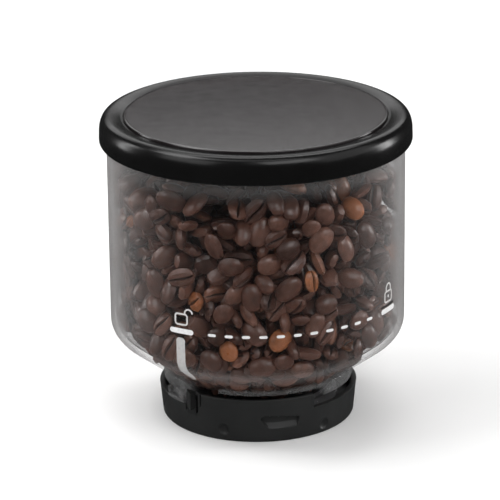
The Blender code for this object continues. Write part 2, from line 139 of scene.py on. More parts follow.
def ramp_of(tree, value, stops):
    """A colour ramp over the value: stops are (position, grey or colour), the lowest position first."""
    ramp = tree.nodes.new("ShaderNodeValToRGB")
    line = ramp.color_ramp.elements
    line[0].position, line[1].position = stops[0][0], stops[-1][0]
    for position, _ in stops[1:-1]:
        line.new(position)
    for mark, (_, colour) in zip(line, stops):
        mark.color = (*colour, 1) if isinstance(colour, tuple) else (colour, colour, colour, 1)
    wire(tree, value, ramp.inputs["Fac"])
    return ramp.outputs["Color"]


def bump_of(tree, value, strength, distance):
    bump = tree.nodes.new("ShaderNodeBump")
    bump.inputs["Strength"].default_value = strength
    bump.inputs["Distance"].default_value = distance
    wire(tree, value, bump.inputs["Height"])
    return bump.outputs["Normal"]


def mottled(tree, noise, *stops):
    """A colour or a grey that follows a noise, which is given as its scale, its detail and, if unusual, roughness."""
    return ramp_of(tree, noise_of(tree, *noise), stops)


def grained_shader(tree, colour, roughness, grain):
    """A Principled shader of this colour and roughness, with grain as a noise, a strength and a distance."""
    shader = tree.nodes.new("ShaderNodeBsdfPrincipled")
    wire(tree, colour, shader.inputs["Base Color"])
    wire(tree, roughness, shader.inputs["Roughness"])
    noise, strength, distance = grain
    wire(tree, bump_of(tree, noise_of(tree, *noise), strength, distance), shader.inputs["Normal"])
    return shader


def moulded_plastic(name, dark, light, rough_low, rough_high, grain=0.25, shine=0.25):
    """Moulded plastic: faint mottled colour, uneven gloss and fine spark-eroded grain. Shine is the specular level."""
    made, tree, output = new_material(name)
    shader = grained_shader(
        tree,
        mottled(tree, (60, 4), (0.3, dark), (0.75, light)),
        mottled(tree, (170, 5, 0.65), (0.3, rough_low), (0.7, rough_high)),
        ((5200, 2), grain, 0.00002),
    )
    shader.inputs["Specular IOR Level"].default_value = shine
    wire(tree, shader.outputs["BSDF"], output.inputs["Surface"])
    return made


lid_low, lid_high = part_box("lid_shell")
LID_EDGE = lid_high.x * 1000
LID_BOTTOM = lid_low.z * 1000
DISC_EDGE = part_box("lid_disc")[1].x * 1000
DISC_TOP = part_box("lid_disc")[1].z * 1000
VESSEL_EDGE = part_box("hopper_vessel")[1].x * 1000
RIM_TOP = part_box("hopper_vessel")[1].z * 1000

LID_WIDEST = 103.43
LIP_R = 47.95
LIP_Z = 111.0
CREST_R = 52.0
CREST_Z = 111.88
CURVE_R = 50.3
CURVE_Z = 111.95
RECESS = 110.25
GROOVE_Z = 110.95
BORE = 53.15

# A narrow groove runs round the disc, and from its lip the rim rises as a parabola, level by the crest.
rise = np.linspace(0, 1, 14)
lip = np.stack([LIP_R + (CREST_R - LIP_R) * rise, LIP_Z + (CREST_Z - LIP_Z) * (1 - (1 - rise) ** 2)], -1)
# The rim's outer line is |x|^p + |z|^p = 1 from the crest, which is nearly flat, to where the lid is widest.
POWER = 3.2
turn = np.linspace(0.05, 1, 40) ** 0.8
dome = np.stack([CURVE_R + (LID_EDGE - CURVE_R) * turn,
                 LID_WIDEST + (CURVE_Z - LID_WIDEST) * (1 - turn**POWER) ** (1 / POWER)], -1)
dome = dome[dome[:, 0] > CREST_R + 0.2]
# Below that, a quarter ellipse turns the rim under to its bottom edge.
under = np.linspace(0, np.pi / 2, 7)[1:]
UNDER_WIDTH = 1.31
lower = np.stack([LID_EDGE - UNDER_WIDTH * (1 - np.cos(under)),
                  LID_WIDEST - (LID_WIDEST - LID_BOTTOM) * np.sin(under)], -1)
lid_outline = [(0, RECESS), (DISC_EDGE + 0.3, RECESS), (DISC_EDGE + 0.3, GROOVE_Z), (LIP_R - 0.1, GROOVE_Z)]
lid_outline += [*lip, *dome, *lower, (BORE + 0.25, LID_BOTTOM), (BORE, LID_BOTTOM + 0.25)]
lid_outline += [(BORE, RIM_TOP + 0.3), (0, RIM_TOP + 0.3)]
AROUND = 320
lid_rim = turned_surface("lid_rim", lid_outline, AROUND)
lid_black = moulded_plastic("lid_black", (0.0035, 0.0035, 0.0035), (0.005, 0.005, 0.005), 0.2, 0.26, 0.15)
lid_rim.data.materials.append(lid_black)
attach(lid_rim, "lid")
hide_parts("lid_shell")


# Lid disc: a thin flat plate let into the top of the lid, glued down. Its satin skin has a very fine grain, so it
# takes the room's light as one broad grey sheen, brighter towards the front.

# A fine line, cut 0.12 mm deep, sets off the disc's rounded edge from its face.
LINE_R = 45.9
edge = np.linspace(0, np.pi / 2, 6)
rounded = np.stack([DISC_EDGE - 0.42 + 0.42 * np.cos(edge), DISC_TOP - 0.5 + 0.5 * np.sin(edge)], -1)
disc_outline = [(0, RECESS + 0.3), (DISC_EDGE, RECESS + 0.3), *rounded, (LINE_R + 0.1, DISC_TOP)]
disc_outline += [(LINE_R, DISC_TOP - 0.12), (LINE_R - 0.12, DISC_TOP), (LINE_R - 4, DISC_TOP), (0, DISC_TOP)]
top_disc = turned_surface("top_disc", disc_outline, AROUND)
made, tree, output = new_material("disc_satin")
shader = grained_shader(
    tree,
    mottled(tree, (45, 5), (0.3, (0.014, 0.0115, 0.012)), (0.7, (0.018, 0.015, 0.0155))),
    mottled(tree, (300, 4), (0.3, 0.14), (0.7, 0.175)),
    ((7000, 2), 0.2, 0.00001),
)
wire(tree, shader.outputs["BSDF"], output.inputs["Surface"])
top_disc.data.materials.append(made)
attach(top_disc, "lid")
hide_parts("lid_disc")


# Lid plug: the inner plate, its silicone gasket and the screws that hold it to the shell. They are seen only when
# the lid is off, so the solids keep their shapes and take real finishes.

def metal_finish(name, colour, roughness):
    """Machined metal: faint turning marks and patchy gloss. Colour and roughness are a noise and its two stops."""
    made, tree, output = new_material(name)
    grain = ((6000, 2), 0.2, 0.00001)
    shader = grained_shader(tree, mottled(tree, *colour), mottled(tree, *roughness), grain)
    shader.inputs["Metallic"].default_value = 1.0
    wire(tree, shader.outputs["BSDF"], output.inputs["Surface"])
    return made


inner_black = moulded_plastic("inner_black", (0.014, 0.014, 0.015), (0.02, 0.02, 0.021), 0.38, 0.5)
silicone = moulded_plastic("silicone", (0.2, 0.2, 0.205), (0.27, 0.27, 0.275), 0.6, 0.75, 0.4)
zinc = metal_finish("zinc_plate", ((400, 4), (0.3, (0.46, 0.47, 0.49)), (0.7, (0.66, 0.66, 0.67))),
                    ((1500, 5), (0.3, 0.24), (0.7, 0.42)))
finishes = {"lid_inner_plate": inner_black, "gate_disc": inner_black, "lid_gasket": silicone, "gate_seal": silicone,
            "pivot_screw": zinc, "spring_washer": zinc, "catch_spring": zinc}
for number in (1, 2, 3):
    finishes[f"lid_screw_{number}"] = zinc
for number in (1, 2, 3, 4):
    finishes[f"gate_screw_{number}"] = zinc
for node, finish in finishes.items():
    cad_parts[node].material_slots[0].material = finish


# Vessel: one clear moulding. Its outside is finely frosted from the rim down to the cone and polished below, and
# its inside is polished, so beans against the front show sharply and the sides turn to a grey haze.

SHOULDER_TOP = 36.71
SHOULDER_R = 8.26
WALL = 2.2
CONE = math.radians(37.26)
NECK = 29.0
NECK_BORE = 27.0
FLOOR_BOTTOM = 7.4
FLOOR_TOP = 9.4

sweep = np.linspace(0, np.pi / 2 - CONE, 13)
hub_r = VESSEL_EDGE - SHOULDER_R
outer_arc = np.stack([hub_r + SHOULDER_R * np.cos(sweep), SHOULDER_TOP - SHOULDER_R * np.sin(sweep)], -1)
inner_arc = np.stack([hub_r + (SHOULDER_R - WALL) * np.cos(sweep),
                      SHOULDER_TOP - (SHOULDER_R - WALL) * np.sin(sweep)], -1)
bore_top = inner_arc[-1, 1] - (inner_arc[-1, 0] - NECK_BORE) * math.tan(CONE)
neck_top = outer_arc[-1, 1] - (outer_arc[-1, 0] - NECK) * math.tan(CONE)
outer_skin = [(VESSEL_EDGE - 0.3, RIM_TOP), (VESSEL_EDGE - 0.05, RIM_TOP - 0.4), (VESSEL_EDGE, 72), *outer_arc,
              (NECK + 0.8, neck_top + 0.61), (NECK + 0.2, neck_top + 0.05), (NECK, neck_top - 0.7),
              (NECK, FLOOR_BOTTOM)]
inner_skin = [(NECK_BORE - 1.2, FLOOR_BOTTOM), (NECK_BORE - 1.2, FLOOR_TOP), (NECK_BORE, FLOOR_TOP),
              (NECK_BORE, bore_top), *inner_arc[::-1],
              (VESSEL_EDGE - WALL, RIM_TOP - 0.3), (VESSEL_EDGE - WALL + 0.3, RIM_TOP)]
vessel_wall = turned_surface("vessel_wall", outer_skin + inner_skin, AROUND)


def rescaled(tree, value, source, target, smooth=False):
    """The value moved from the source range to the target range and held inside it, along an S where smooth."""
    scaled = tree.nodes.new("ShaderNodeMapRange")
    if smooth:
        scaled.interpolation_type = "SMOOTHSTEP"
    for socket, number in zip(("From Min", "From Max", "To Min", "To Max"), (*source, *target)):
        scaled.inputs[socket].default_value = number
    wire(tree, value, scaled.inputs["Value"])
    return scaled.outputs["Result"]


def combined(tree, operation, first, second):
    """Two values added or multiplied."""
    sums = tree.nodes.new("ShaderNodeMath")
    sums.operation = operation
    wire(tree, first, sums.inputs[0])
    wire(tree, second, sums.inputs[1])
    return sums.outputs["Value"]


def slant(tree):
    """One minus the cosine of the viewing angle, the same from either side of the surface."""
    lean = tree.nodes.new("ShaderNodeLayerWeight")
    lean.inputs["Blend"].default_value = 0.5
    return lean.outputs["Facing"]


def cover_clear(tree, output, share, tint, shader):
    """Sends the output a clear tinted surface, covered by the shader by the given share."""
    clear = tree.nodes.new("ShaderNodeBsdfTransparent")
    clear.inputs["Color"].default_value = (*tint, 1)
    mixed = tree.nodes.new("ShaderNodeMixShader")
    wire(tree, share, mixed.inputs["Fac"])
    wire(tree, clear.outputs["BSDF"], mixed.inputs[1])
    wire(tree, shader.outputs["BSDF"], mixed.inputs[2])
    wire(tree, mixed.outputs["Shader"], output.inputs["Surface"])


def frosted_clear(name):
    """Frosted clear plastic: light passes straight through, behind a haze that thickens where the wall is aslant.

    The haze's share is a ramp over one minus the cosine of the viewing angle, raised in a band under the rim, lowered
    down the cone where the mould is polished, and broken up by a fine grain.
    """
    made, tree, output = new_material(name)
    stops = [(0.056, 0.012), (0.2, 0.04), (0.31, 0.09), (0.42, 0.2), (0.5, 0.32), (0.59, 0.5), (0.71, 0.78)]
    share = ramp_of(tree, slant(tree), [*stops, (1.0, 0.96)])
    place = tree.nodes.new("ShaderNodeTexCoord")
    split = tree.nodes.new("ShaderNodeSeparateXYZ")
    wire(tree, place.outputs["Object"], split.inputs["Vector"])
    cone_fade = rescaled(tree, split.outputs["Z"], (0.023, 0.038), (0.05, 1.0))
    rim_band = rescaled(tree, split.outputs["Z"], (0.0935, 0.1035), (0.0, 0.34), smooth=True)
    grain = rescaled(tree, noise_of(tree, 1900, 2, 0.7), (0, 1), (0.72, 1.28))
    frosty = combined(tree, "ADD", share, rim_band)
    covered = combined(tree, "MULTIPLY", frosty, combined(tree, "MULTIPLY", cone_fade, grain))
    haze = grained_shader(
        tree,
        mottled(tree, (90, 4), (0.3, (0.235, 0.228, 0.226)), (0.7, (0.265, 0.258, 0.256))),
        mottled(tree, (900, 3), (0.3, 0.42), (0.7, 0.5)),
        ((4200, 2), 0.35, 0.00002),
    )
    cover_clear(tree, output, rescaled(tree, covered, (0, 1), (0, 1)), (0.95, 0.945, 0.945), haze)
    return made


def polished_clear(name, tint=(0.97, 0.97, 0.972), haze=0.0, body=0.02):
    """Polished clear plastic: light passes straight through, behind a sharp gloss that grows where it is aslant.

    Haze is added to the gloss's share, and body is how light the plastic is where it covers.
    """
    made, tree, output = new_material(name)
    gloss = grained_shader(
        tree,
        mottled(tree, (120, 3), (0.3, body), (0.7, body * 1.5)),
        mottled(tree, (400, 3), (0.3, 0.06), (0.7, 0.12)),
        ((150, 3), 0.25, 0.0004),
    )
    stops = [(0.0, 0.03 + haze), (0.5, 0.06 + haze), (0.7, 0.17 + haze), (0.85, 0.42 + haze), (1.0, 0.9)]
    cover_clear(tree, output, ramp_of(tree, slant(tree), stops), tint, gloss)
    return made


frosted = frosted_clear("frosted_outside")
polished = polished_clear("polished_inside")
vessel_wall.data.materials.append(frosted)
vessel_wall.data.materials.append(polished)
middles = np.empty(len(vessel_wall.data.polygons) * 3)
vessel_wall.data.polygons.foreach_get("center", middles)
facing = np.empty(len(vessel_wall.data.polygons) * 3)
vessel_wall.data.polygons.foreach_get("normal", facing)
middles, facing = middles.reshape(-1, 3), facing.reshape(-1, 3)
inward = (middles[:, :2] * facing[:, :2]).sum(1) < 1e-5
vessel_wall.data.polygons.foreach_set("material_index", inward.astype(np.int32))
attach(vessel_wall, "hopper")
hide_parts("hopper_vessel")


# Vessel foot: the floor with its two outlets and pivot boss, the hanging skirt and the two bayonet lugs. All are
# polished parts of the same moulding and catch sharp highlights inside the collar; their copy of the clear finish
# is lighter grey and covers more than the wall's, painted light that makes them read bright there.

def swept_segment(name, section, start, end, step):
    """A closed section of (radius, height) points in mm, carried round the vertical axis from start to end degrees.

    Point (i, j) is section point j turned to angle i, and the first and last sections close the ends.
    """
    count = max(2, int(round((end - start) / step)) + 1)
    angle = np.radians(np.linspace(start, end, count))[:, None]
    line = np.asarray(section, float) * 0.001
    far, high = line[None, :, 0], np.repeat(line[None, :, 1], count, 0)
    points = np.stack([far * np.sin(angle), -far * np.cos(angle), high], -1).reshape(-1, 3)
    size = len(line)
    row, column = np.arange(count - 1)[:, None], np.arange(size)[None, :]
    after = (column + 1) % size
    here, there = row * size, (row + 1) * size
    quads = np.stack([here + column, here + after, there + after, there + column], -1)
    faces = quads.reshape(-1, 4).tolist()
    faces.append(list(range(size))[::-1])
    faces.append(list(range((count - 1) * size, count * size)))
    return mesh_object(name, points, faces)


def rounded_box(inner, outer, bottom, top, radius):
    """A rectangle of radii and heights whose four corners are quarter circles."""
    quarter = np.linspace(0, np.pi / 2, 4)
    corners = ((outer - radius, bottom + radius, -np.pi / 2), (outer - radius, top - radius, 0),
               (inner + radius, top - radius, np.pi / 2), (inner + radius, bottom + radius, np.pi))
    return np.concatenate([
        np.stack([x + radius * np.cos(turn + quarter), z + radius * np.sin(turn + quarter)], -1)
        for x, z, turn in corners
    ])


# A lighter, more covering copy of the clear finish: painted light, so the foot reads bright inside the dark collar.
painted_bright_clear = polished_clear("polished_foot_painted_light", (0.9, 0.9, 0.905), 0.16, 0.25)
# Each segment is its inner and outer radius, bottom and top, corner radius, then its first and last degree.
SEGMENTS = {
    "skirt": (31.9, 34.2, 13.9, 18.4, 0.35, 43, 135.5),
    "skirt_web": (28.6, 31.7, 16.2, 18.2, 0.35, 43.3, 135.2),
    "lug_lower": (32.2, 36.9, 11.65, 12.9, 0.3, 118.8, 133.6),
    "lug_wall": (34.5, 36.9, 13.0, 15.8, 0.3, 118.8, 121.2),
    "lug_end": (34.5, 36.9, 13.0, 15.8, 0.3, 129.6, 133.6),
    "lug_back": (34.4, 35.4, 13.0, 15.4, 0.3, 121.4, 129.4),
    "floor_web": (8.5, 25.7, FLOOR_BOTTOM, FLOOR_TOP, 0.25, 122, 226),
}
FINE_STEPS = {"lug_wall": 0.6, "lug_end": 0.6}
foot_pieces = []
for side, label in ((0, "right"), (180, "left")):
    for name, (inner, outer, bottom, top, corner, start, end) in SEGMENTS.items():
        section = rounded_box(inner, outer, bottom, top, corner)
        step = FINE_STEPS.get(name, 1.5)
        foot_pieces.append(swept_segment(f"{name}_{label}", section, start + side, end + side, step))
boss = [(0, 11.9), (3.2, 11.9), (3.2, 7.4), (8.4, 7.4), (8.4, 9.4), (5.3, 9.4), (5.0, 9.7), (5.0, 13.5)]
foot_pieces.append(turned_surface("pivot_boss", [*boss, (4.6, 14.6), (3.5, 15), (0, 15)], 96))
# A small bead runs round the front of the neck, between the skirts; in the light copy of the finish it is a painted
# highlight there.
foot_pieces.append(swept_segment("neck_highlight_bead", rounded_box(33.2, 34.9, 17.6, 19.4, 0.35), -24, 42, 1.5))
for piece in foot_pieces:
    piece.data.materials.append(painted_bright_clear)
    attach(piece, "hopper")
    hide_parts("hopper_vessel")

smoke = polished_clear("smoke_clear", (0.55, 0.55, 0.56), 0.25)
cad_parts["finger_guard"].material_slots[0].material = smoke
brass = metal_finish("turned_brass", ((500, 4), (0.3, (0.62, 0.43, 0.17)), (0.7, (0.76, 0.56, 0.27))),
                     ((1800, 4), (0.3, 0.22), (0.7, 0.4)))
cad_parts["pivot_insert"].material_slots[0].material = brass


# Beans: the hopper's contents. Roasted beans poured in at random, settled against each other and the wall up to
# just under the lid. Every bean has a domed side, a flatter side and a crease along it.

BEAN_SEED = 11
BEAN_COUNT = 2250
BEAN_HALF_LENGTH, BEAN_HALF_WIDTH, BEAN_HALF_HEIGHT = 4.95, 3.65, 3.75
BEAN_TOP = 97.5
KEEP_ALL_R = 51.0
rng = np.random.default_rng(BEAN_SEED)


def inner_radius(height):
    """The vessel's inner radius at a height, in mm: a wall, an arc, a cone and a bore, by linear steps."""
    heights = [9.4, bore_top, *inner_arc[::-1, 1], 108.4]
    radii = [NECK_BORE, NECK_BORE, *inner_arc[::-1, 0], VESSEL_EDGE - WALL]
    return np.interp(height, heights, radii)


def settled_beans(count):
    """Centres and long axes of beans, each three balls in a row, pushed apart and into the vessel until they fit.

    Each round moves every pair of overlapping balls apart by half their overlap, pulls all down a little, and puts
    balls outside the wall back on it. A bean's new centre is the mean of its balls, and its axis joins the outer two.
    """
    lowest = 14
    height = lowest + (BEAN_TOP - lowest) * rng.random(count * 3)
    keep = rng.random(len(height)) < (inner_radius(height) / KEEP_ALL_R) ** 2
    height = height[keep][:count]
    count = len(height)
    radius = (inner_radius(height) - 4) * np.sqrt(rng.random(count))
    around = rng.random(count) * 2 * np.pi
    centre = np.stack([radius * np.cos(around), radius * np.sin(around), height], -1)
    axis = rng.normal(size=(count, 3))
    axis /= np.linalg.norm(axis, axis=1)[:, None]
    size = rng.normal(1.0, 0.06, count).clip(0.86, 1.14)
    offset = np.array([-2.35, 0, 2.35])
    ball = np.array([2.4, 2.9, 2.4])
    farthest_touch = 6.6
    rounds = 90
    for index in range(rounds):
        growth = min(1.0, 0.72 + 0.28 * index / (rounds * 0.6))
        spots = centre[:, None, :] + axis[:, None, :] * (offset[None, :, None] * size[:, None, None])
        spots = spots.reshape(-1, 3)
        reach = (ball[None, :] * size[:, None] * growth).reshape(-1)
        owner = np.repeat(np.arange(count), 3)
        first, second = close_pairs(spots, farthest_touch)
        apart = spots[second] - spots[first]
        distance = np.linalg.norm(apart, axis=1).clip(1e-6)
        overlap = reach[first] + reach[second] - distance
        hit = (overlap > 0) & (owner[first] != owner[second])
        first, second = first[hit], second[hit]
        push = apart[hit] / distance[hit][:, None] * (overlap[hit] * 0.5)[:, None]
        moved = np.zeros_like(spots)
        for column in range(3):
            moved[:, column] += np.bincount(second, push[:, column], len(spots))
            moved[:, column] -= np.bincount(first, push[:, column], len(spots))
        met = np.bincount(first, minlength=len(spots)) + np.bincount(second, minlength=len(spots))
        spots = spots + moved / np.maximum(met, 1)[:, None] * 1.25
        spots[:, 2] -= 0.12 * (1 - index / rounds)
        out = np.hypot(spots[:, 0], spots[:, 1]).clip(1e-6)
        lean = np.where(spots[:, 2] < inner_arc[-1, 1] + 2, 1 / math.sin(CONE + 0.35), 1.0)
        limit = inner_radius(spots[:, 2]) - reach * lean
        inside = np.minimum(1, limit / out)
        spots[:, :2] *= inside[:, None]
        spots[:, 2] = spots[:, 2].clip(12.2 + reach, BEAN_TOP - reach * 0.6)
        spots = spots.reshape(-1, 3, 3)
        centre = spots.mean(1)
        axis = spots[:, 2] - spots[:, 0]
        axis /= np.linalg.norm(axis, axis=1)[:, None].clip(1e-6)
    return centre, axis, size


def close_pairs(spots, reach):
    """Pairs of points in the same or a neighbouring cube of side reach, found by sorting the cubes' numbers."""
    cell = np.floor(spots / reach).astype(np.int64) + 64
    key = (cell[:, 0] * 128 + cell[:, 1]) * 128 + cell[:, 2]
    order = np.argsort(key, kind="stable")
    ordered = key[order]
    firsts, seconds = [], []
    for shift in [(a * 128 + b) * 128 + c for a in (-1, 0, 1) for b in (-1, 0, 1) for c in (-1, 0, 1)]:
        low = np.searchsorted(ordered, key + shift, "left")
        high = np.searchsorted(ordered, key + shift, "right")
        for step in range(int((high - low).max())):
            mine = np.nonzero(low + step < high)[0]
            theirs = order[low[mine] + step]
            wanted = theirs > mine
            firsts.append(mine[wanted])
            seconds.append(theirs[wanted])
    return np.concatenate(firsts), np.concatenate(seconds)


centre, axis, size = settled_beans(BEAN_COUNT)
out = np.hypot(centre[:, 0], centre[:, 1])
outward = np.stack([centre[:, 0] / out.clip(1e-6), centre[:, 1] / out.clip(1e-6), np.zeros(len(out))], -1)
near_wall = out > inner_radius(centre[:, 2]) - 6.2
upward = centre[:, 2] > BEAN_TOP - 7
thick = rng.normal(size=axis.shape)
thick[near_wall] = outward[near_wall] * rng.choice([-1, 1], near_wall.sum(), p=[0.24, 0.76])[:, None]
thick[near_wall] += rng.normal(size=(near_wall.sum(), 3)) * 0.28
thick[upward & ~near_wall] = [0, 0, 1]
thick -= axis * (thick * axis).sum(1)[:, None]
thick /= np.linalg.norm(thick, axis=1)[:, None]
wide = np.cross(thick, axis)
centre[near_wall] += outward[near_wall] * 0.45
spread = np.stack([np.ones(len(size)), rng.normal(1, 0.05, len(size)), rng.normal(1, 0.07, len(size))], -1)
lengthwise = rng.normal(1, 0.06, len(size)).clip(0.85, 1.12)


def bean_pattern(stations, across):
    """One bean at unit size, its long axis along X and its dome towards +Z.

    Ring i stands at x = cos of an even angle, with radius sqrt(1 - x^2) raised to 0.86. Round a ring, the dome is
    a half ellipse, and the flat side a low arch that dips into the crease along y = 0, which curves like an S.
    """
    turn = np.linspace(0, np.pi, stations + 2)[1:-1]
    along = -np.cos(turn)
    girth = np.sin(turn) ** 0.86
    dome = np.linspace(0, np.pi, across)
    flat_y, flat_z = np.array([-0.66, -0.2, 0.0, 0.2, 0.66]), np.array([-0.36, -0.42, -0.17, -0.42, -0.36])
    ring_y = np.concatenate([np.cos(dome), flat_y])
    ring_z = np.concatenate([np.sin(dome) * 0.66, flat_z])
    in_flat = np.concatenate([np.zeros(across), [0.4, 1, 1, 1, 0.4]])
    in_crease = np.concatenate([np.zeros(across), [0, 0.35, 1, 0.35, 0]])
    shift = 0.08 * np.sin(along * np.pi)
    x = np.repeat(along[:, None], len(ring_y), 1)
    y = (ring_y[None, :] + shift[:, None] * in_flat[None, :]) * girth[:, None]
    z = ring_z[None, :] * girth[:, None]
    points = np.vstack([np.stack([x, y, z], -1).reshape(-1, 3), [[-1.0, 0, -0.02], [1.0, 0, -0.02]]])
    size = len(ring_y)
    row, column = np.arange(stations - 1)[:, None], np.arange(size)[None, :]
    after = (column + 1) % size
    here, there = row * size, (row + 1) * size
    quads = np.stack([here + column, there + column, there + after, here + after], -1)
    ring = np.arange(size)
    first = np.stack([ring, (ring + 1) % size, np.full(size, len(points) - 2)], -1)
    last_row = (stations - 1) * size
    last = np.stack([last_row + (ring + 1) % size, last_row + ring, np.full(size, len(points) - 1)], -1)
    crease = np.concatenate([np.tile(in_crease, stations), [0.4, 0.4]])
    return points, quads.reshape(-1, 4), np.vstack([first, last]), crease


def bean_heap(name, chosen, stations, across):
    """One mesh of many beans: the pattern times each one's half sizes, turned to its axes and set at its centre."""
    pattern, quads, triangles, crease = bean_pattern(stations, across)
    half = np.tile([BEAN_HALF_LENGTH, BEAN_HALF_WIDTH, BEAN_HALF_HEIGHT], (len(size), 1))
    half[:, 0] *= lengthwise
    half = half * size[:, None] * spread
    axes = np.stack([axis, wide, thick], 1)[chosen] * half[chosen][:, :, None]
    points = (np.einsum("pk,bkj->bpj", pattern, axes) + centre[chosen][:, None, :]) * 0.001
    base = np.arange(len(chosen))[:, None, None] * len(pattern)
    faces = (quads[None] + base).reshape(-1, 4).tolist() + (triangles[None] + base).reshape(-1, 3).tolist()
    mesh = bpy.data.meshes.new(name)
    mesh.from_pydata(points.reshape(-1, 3).tolist(), [], faces)
    mesh.update()
    tone = mesh.attributes.new("tone", "FLOAT", "POINT")
    tone.data.foreach_set("value", np.repeat(tones[chosen], len(pattern)).astype(np.float32))
    line = mesh.attributes.new("crease", "FLOAT", "POINT")
    line.data.foreach_set("value", np.tile(crease, len(chosen)).astype(np.float32))
    thing = bpy.data.objects.new(name, mesh)
    bpy.context.scene.collection.objects.link(thing)
    return outwards(thing)


tones = rng.beta(2.2, 2.6, len(size))
oily = rng.random(len(size)) < 0.035
tones[oily] = 1.0


def vertex_value(tree, name):
    """The number that each point of the mesh holds under this name."""
    stored = tree.nodes.new("ShaderNodeAttribute")
    stored.attribute_name = name
    return stored.outputs["Fac"]


def darkened(tree, colour, shade):
    """One colour multiplied by another."""
    mixed = tree.nodes.new("ShaderNodeMix")
    mixed.data_type = "RGBA"
    mixed.blend_type = "MULTIPLY"
    mixed.inputs["Factor"].default_value = 1.0
    wire(tree, colour, mixed.inputs["A"])
    wire(tree, shade, mixed.inputs["B"])
    return mixed.outputs["Result"]


def roasted_bean(name):
    """Roasted bean: brown that varies from bean to bean, mottled skin, painted shade darkening the crease and an oily
    half gloss.
    """
    made, tree, output = new_material(name)
    browns = [(0.0, (0.060, 0.026, 0.018)), (0.45, (0.125, 0.055, 0.038)), (0.85, (0.210, 0.098, 0.068)),
              (1.0, (0.38, 0.135, 0.052))]
    brown = ramp_of(tree, vertex_value(tree, "tone"), browns)
    skin = darkened(tree, brown, mottled(tree, (420, 5, 0.65), (0.3, 0.62), (0.7, 1.25)))
    # The colour falls towards a tenth along the crease: painted shade in the crease.
    line = ramp_of(tree, vertex_value(tree, "crease"), [(0.0, 1.0), (0.45, 0.9), (0.85, 0.16), (1.0, 0.1)])
    gloss = mottled(tree, (700, 4), (0.3, 0.27), (0.7, 0.38))
    shader = grained_shader(tree, darkened(tree, skin, line), gloss, ((900, 5, 0.6), 0.3, 0.00035))
    shader.inputs["Specular IOR Level"].default_value = 0.75
    wire(tree, shader.outputs["BSDF"], output.inputs["Surface"])
    return made


bean_skin = roasted_bean("roasted_skin")
bearing = np.degrees(np.arctan2(centre[:, 0], -centre[:, 1]))
seen = near_wall | upward
front = np.abs(bearing) < 90
for heap in (
    bean_heap("beans_front", np.nonzero(seen & front)[0], 7, 6),
    bean_heap("beans_back", np.nonzero(seen & ~front)[0], 7, 6),
    bean_heap("beans_middle", np.nonzero(~seen)[0], 4, 5),
):
    heap.data.materials.append(bean_skin)
    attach(heap, "hopper")


# Printed scale: white ink on the frosted wall. A bar with an open padlock marks the position for lifting off, a
# bar with a closed padlock the locked one, dashes run between them, and a paler stripe runs down from the first.

def printed_patch(name, across, up, bearing, lift=0.09):
    """A thin layer of ink, or of painted shadow, on the vessel: a grid of (distance across, height) in mm laid round
    the wall.

    Grid point (i, j) stands at the angle bearing + across / radius, a lift above the wall, over a copy of itself
    just clear of the wall. The grid's border joins the two, so that the ink is closed.
    """
    rows, columns = across.shape
    angle = np.radians(bearing) + across / VESSEL_EDGE
    skins = []
    for height in (0.02, lift):
        radius = wall_radius(up) + height
        skins.append(np.stack([radius * np.sin(angle), -radius * np.cos(angle), up], -1).reshape(-1, 3))
    points = np.vstack(skins) * 0.001
    index = np.arange(rows * columns).reshape(rows, columns)
    cells = np.stack([index[:-1, :-1], index[:-1, 1:], index[1:, 1:], index[1:, :-1]], -1).reshape(-1, 4)
    border = np.concatenate([index[0, :-1], index[:-1, -1], index[-1, :0:-1], index[:0:-1, 0]])
    after = np.roll(border, -1)
    far = rows * columns
    sides = np.stack([border, after, after + far, border + far], -1)
    faces = cells[:, ::-1].tolist() + (cells + far).tolist() + sides.tolist()
    return mesh_object(name, points, faces)


def wall_radius(height):
    """The vessel's outer radius at a height, in mm, by linear steps along its outer line."""
    heights = [neck_top, *outer_arc[::-1, 1], 72, RIM_TOP]
    radii = [NECK, *outer_arc[::-1, 0], VESSEL_EDGE, VESSEL_EDGE - 0.3]
    return np.interp(height, heights, radii)


def stadium(length, height, columns=18):
    """A bar with round ends: the half height falls as a quarter circle over the last half height of its length."""
    along = -np.cos(np.linspace(0.06, np.pi - 0.06, columns)) * length / 2
    past = (np.abs(along) - (length - height) / 2).clip(0) / (height / 2)
    half = height / 2 * np.sqrt((1 - past**2).clip(0.02))
    share = np.linspace(-1, 1, 4)[:, None]
    return np.repeat(along[None], 4, 0), share * half[None]


def stroke(path, width):
    """A ribbon along a path of (across, up) points: each point moved by half the width along its normal, both ways."""
    line = np.asarray(path, float)
    run = np.gradient(line, axis=0)
    run /= np.linalg.norm(run, axis=1)[:, None].clip(1e-9)
    normal = np.stack([-run[:, 1], run[:, 0]], -1)
    share = np.linspace(-0.5, 0.5, 3)[:, None, None]
    grid = line[None] + normal[None] * width * share
    return grid[..., 0], grid[..., 1]


def ink(name, colour, cover):
    """Screen-printed ink, and the painted shadow strip laid like it: a flat colour with pinholes and soft gloss, of
    which a share lets light through.
    """
    made, tree, output = new_material(name)
    thin = tuple(c * 0.86 for c in colour)
    shader = grained_shader(
        tree,
        mottled(tree, (800, 4), (0.3, thin), (0.6, colour)),
        mottled(tree, (1500, 3), (0.3, 0.4), (0.7, 0.55)),
        ((5000, 2), 0.3, 0.00002),
    )
    share = ramp_of(tree, noise_of(tree, 1200, 3), [(0.25, cover * 0.85), (0.5, cover)])
    cover_clear(tree, output, share, (1, 1, 1), shader)
    return made


